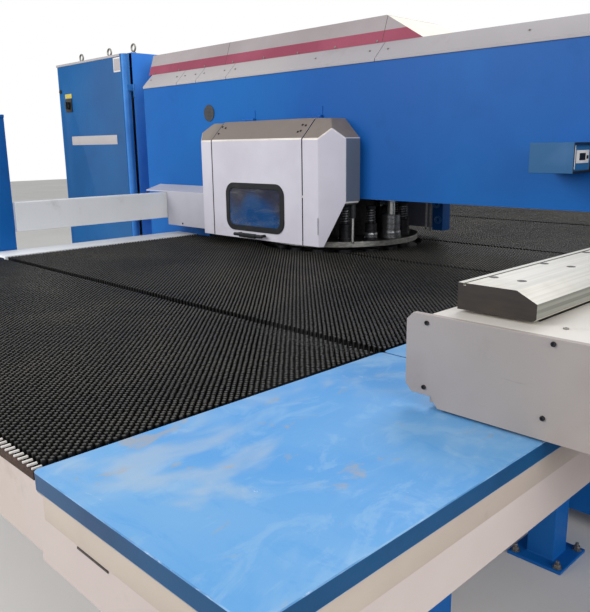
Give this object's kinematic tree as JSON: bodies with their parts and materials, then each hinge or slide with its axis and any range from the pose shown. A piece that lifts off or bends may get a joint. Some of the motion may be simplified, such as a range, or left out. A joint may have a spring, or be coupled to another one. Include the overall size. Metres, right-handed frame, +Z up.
{
  "type": "cnc turret punch press",
  "caption": "Closed-frame turret punch press with brush tables, clamping carriage, lift-up turret cover and control cabinet.",
  "frame": {"origin": "centre of the footprint on the floor", "axes": "+X along the closed frame away from the cabinet, the operator side is -Y, +Z up"},
  "size_m": [5.69, 4.728, 2.096],
  "materials": {
    "frame_blue": "semi-gloss paint",
    "cabinet_blue": "semi-gloss paint",
    "worn_blue": "worn paint",
    "cover_white": "satin paint",
    "guard_white": "satin paint",
    "carriage_white": "satin paint",
    "skirt_beige": "satin paint",
    "roof_grey": "satin paint",
    "brush_black": "bristle",
    "ground_steel": "ground",
    "dark_steel": "blackened",
    "spring_steel": "plain",
    "motor_black": "matt paint",
    "black_plastic": "moulded",
    "window_seal": "rubber",
    "window_glass": "tinted",
    "module_grey": "moulded"
  },
  "bodies": {
    "root": {"o_frame": "frame_blue", "frame_feet": "dark_steel", "beam_cover": "roof_grey", "roof_hood": "roof_grey", "face_plug": "black_plastic", "display_box": "cabinet_blue", "turret_bearings": "dark_steel", "turret_drives": "motor_black", "ram_cylinder": "dark_steel", "left_cover": "cover_white", "right_cover": "cover_white", "hinge_brackets": "spring_steel", "rear_cover": "cover_white", "front_table_frame": "skirt_beige", "centre_table_frame": "skirt_beige", "rear_table_frame": "skirt_beige", "front_brush": "brush_black", "front_inner_brush": "brush_black", "centre_brush": "brush_black", "rear_inner_brush": "brush_black", "rear_brush": "brush_black", "front_end_plate": "worn_blue", "front_inner_end_plate": "worn_blue", "rear_inner_end_plate": "worn_blue", "rear_end_plate": "worn_blue", "table_legs": "frame_blue", "end_rails": "guard_white", "guard_beam": "guard_white", "guard_post": "frame_blue", "stepped_cover": "cover_white", "traverse_guides": "ground_steel", "traverse_motor": "motor_black", "cabinet_body": "cabinet_blue", "cabinet_modules": "module_grey", "lifting_eyes": "spring_steel"},
    "carriage": {"carriage_beam": "carriage_white", "carriage_end_plates": "carriage_white", "cross_guides": "ground_steel", "cross_motor": "motor_black"},
    "clamp_slide": {"clamp_rail": "ground_steel", "clamp_bodies": "dark_steel"},
    "front_jaw": {"clamp_jaw_front": "dark_steel"},
    "rear_jaw": {"clamp_jaw_rear": "dark_steel"},
    "cross_screw": {"cross_screw": "ground_steel"},
    "traverse_screw": {"traverse_screw": "ground_steel"},
    "upper_turret": {"upper_turret": "ground_steel", "punch_guides": "dark_steel", "punches": "ground_steel", "punch_springs": "spring_steel"},
    "working_punch": {"working_punch": "ground_steel"},
    "lower_turret": {"lower_turret": "ground_steel", "dies": "dark_steel"},
    "ram": {"ram": "ground_steel"},
    "cover_door": {"cover_door": "cover_white", "door_window": "window_glass", "window_rubber": "window_seal", "door_handle": "black_plastic", "door_hinges": "spring_steel"},
    "cabinet_door": {"cabinet_door": "cabinet_blue"},
    "main_switch": {"main_switch": "black_plastic"}
  },
  "joints": [
    {"name": "carriage_slide", "type": "slide", "parent": "root", "child": "carriage", "axis": [-1, 0, 0], "range_m": [0, 1.188]},
    {"name": "traverse_screw_turn", "type": "hinge", "parent": "root", "child": "traverse_screw", "pos_m": [1.6, 0, 0.905], "axis": [1, 0, 0], "range_deg": [-10, 10705]},
    {"name": "clamp_rail_slide", "type": "slide", "parent": "carriage", "child": "clamp_slide", "axis": [0, 1, 0], "range_m": [-0.845, 1.045]},
    {"name": "cross_screw_turn", "type": "hinge", "parent": "carriage", "child": "cross_screw", "pos_m": [1.473, 0, 1.032], "axis": [0, 1, 0], "range_deg": [-9420, 7620]},
    {"name": "front_jaw_turn", "type": "hinge", "parent": "clamp_slide", "child": "front_jaw", "pos_m": [1.329, 0.045, 0.993], "axis": [0, 1, 0], "range_deg": [0, 12]},
    {"name": "rear_jaw_turn", "type": "hinge", "parent": "clamp_slide", "child": "rear_jaw", "pos_m": [1.329, 0.595, 0.993], "axis": [0, 1, 0], "range_deg": [0, 12]},
    {"name": "upper_turret_turn", "type": "hinge", "parent": "root", "child": "upper_turret", "pos_m": [-0.375, 0, 0.98], "axis": [0, 0, 1], "continuous": true},
    {"name": "lower_turret_turn", "type": "hinge", "parent": "root", "child": "lower_turret", "pos_m": [-0.375, 0, 0.9], "axis": [0, 0, 1], "continuous": true},
    {"name": "ram_stroke", "type": "slide", "parent": "root", "child": "ram", "axis": [0, 0, -1], "range_m": [0, 0.038]},
    {"name": "punch_stroke", "type": "slide", "parent": "upper_turret", "child": "working_punch", "axis": [0, 0, -1], "range_m": [0, 0.0306]},
    {"name": "cover_door_lift", "type": "hinge", "parent": "root", "child": "cover_door", "pos_m": [-0.509, -0.31, 1.5785], "axis": [-1, 0, 0], "range_deg": [0, 75]},
    {"name": "cabinet_door_swing", "type": "hinge", "parent": "root", "child": "cabinet_door", "pos_m": [-1.932, -0.241, 1], "axis": [0, 0, 1], "range_deg": [0, 110]},
    {"name": "main_switch_turn", "type": "hinge", "parent": "cabinet_door", "child": "main_switch", "pos_m": [-2.692, -0.306, 1.743], "axis": [0, 1, 0], "range_deg": [0, 90]}
  ],
  "couplings": [
    {"joint": "traverse_screw_turn", "follows": "carriage_slide", "rad_per_m": 157.08},
    {"joint": "cross_screw_turn", "follows": "clamp_rail_slide", "rad_per_m": -157.08},
    {"joint": "lower_turret_turn", "follows": "upper_turret_turn", "ratio": 1},
    {"joint": "punch_stroke", "follows": "ram_stroke", "ratio": 0.8026}
  ]
}
